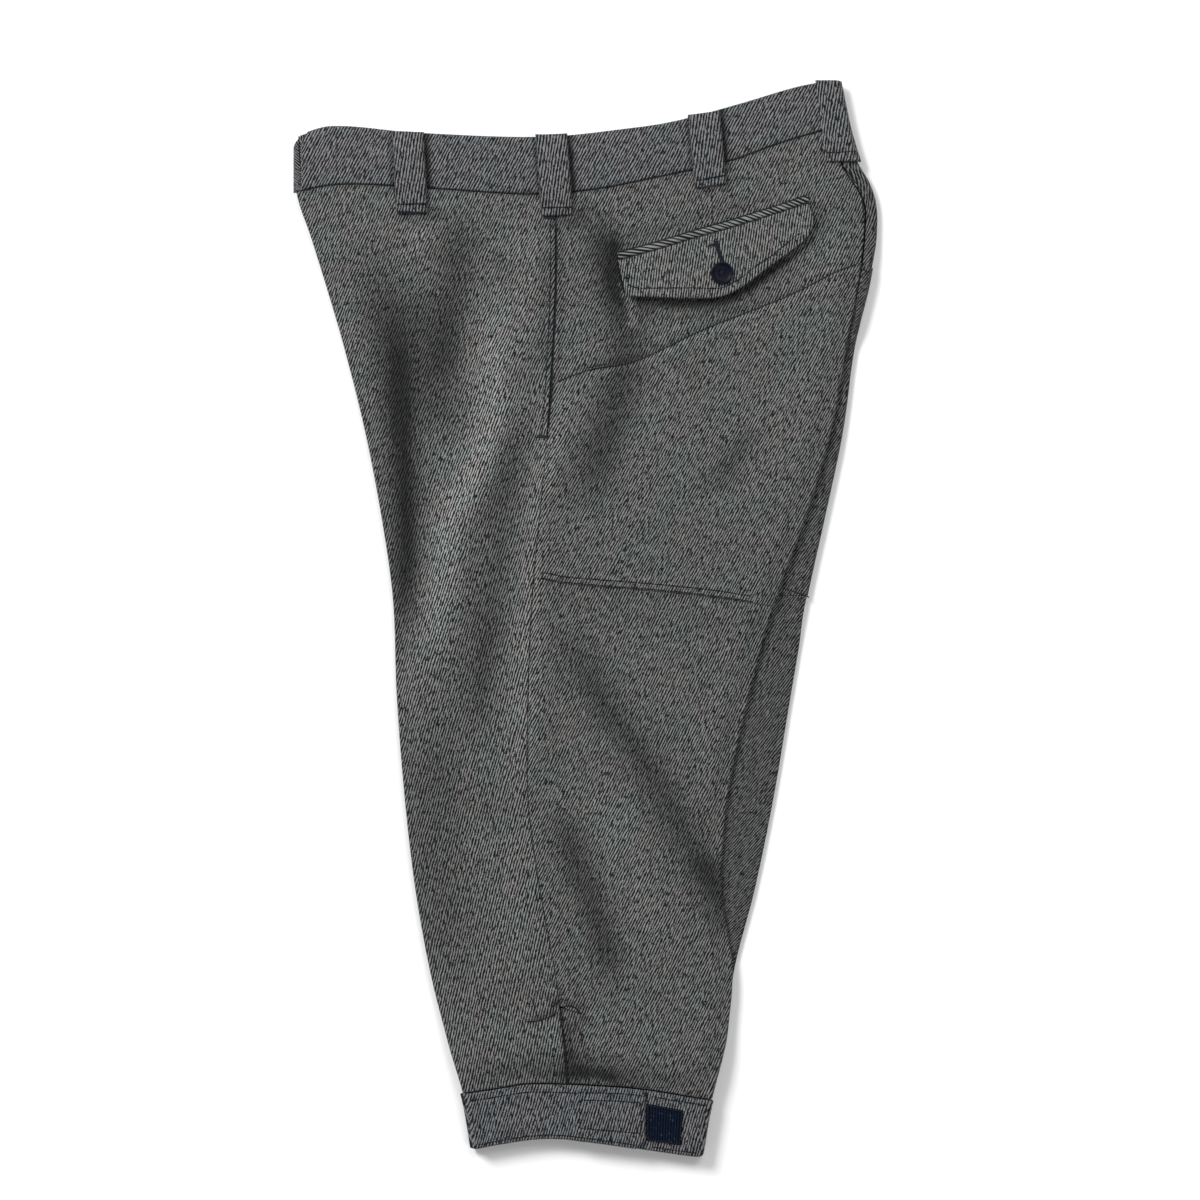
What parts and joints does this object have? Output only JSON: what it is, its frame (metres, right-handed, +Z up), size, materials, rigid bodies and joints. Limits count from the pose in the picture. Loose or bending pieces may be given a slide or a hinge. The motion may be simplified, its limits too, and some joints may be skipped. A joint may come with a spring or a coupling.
{
  "type": "knee breeches",
  "caption": "Grey wool twill knee breeches laid flat on their side, with waistband, belt loops, hip pocket, seat patches and buttonless knee cuffs.",
  "frame": {"origin": "on the floor, under the middle of the garment as it lies", "axes": "+X from the front edge to the seat, +Y from the cuffs to the waistband, +Z up, away from the floor"},
  "size_m": [0.4389, 0.8088, 0.0187],
  "materials": {
    "wool_twill": "matt grey salt-and-pepper wool twill",
    "wool_twill_bands": "the same twill, doubled and pressed",
    "hook_and_loop": "matt dark navy hook-and-loop tape",
    "button": "semi-gloss near-black moulded button"
  },
  "bodies": {
    "root": {"left_front": "wool_twill", "right_front": "wool_twill", "left_back": "wool_twill", "right_back": "wool_twill", "left_seat_patch": "wool_twill", "right_seat_patch": "wool_twill", "left_vent_underlap": "wool_twill", "right_vent_underlap": "wool_twill", "hip_flap": "wool_twill", "hip_welt": "wool_twill", "left_waistband": "wool_twill_bands", "right_waistband": "wool_twill_bands", "left_cuff": "wool_twill_bands", "right_cuff": "wool_twill_bands", "belt_loop_left_front": "wool_twill_bands", "belt_loop_left_side": "wool_twill_bands", "belt_loop_left_back": "wool_twill_bands", "belt_loop_right_front": "wool_twill_bands", "belt_loop_right_side": "wool_twill_bands", "belt_loop_right_back": "wool_twill_bands", "belt_loop_centre_back": "wool_twill_bands", "left_fastener": "hook_and_loop", "right_fastener": "hook_and_loop", "hip_button": "button"}
  },
  "joints": []
}
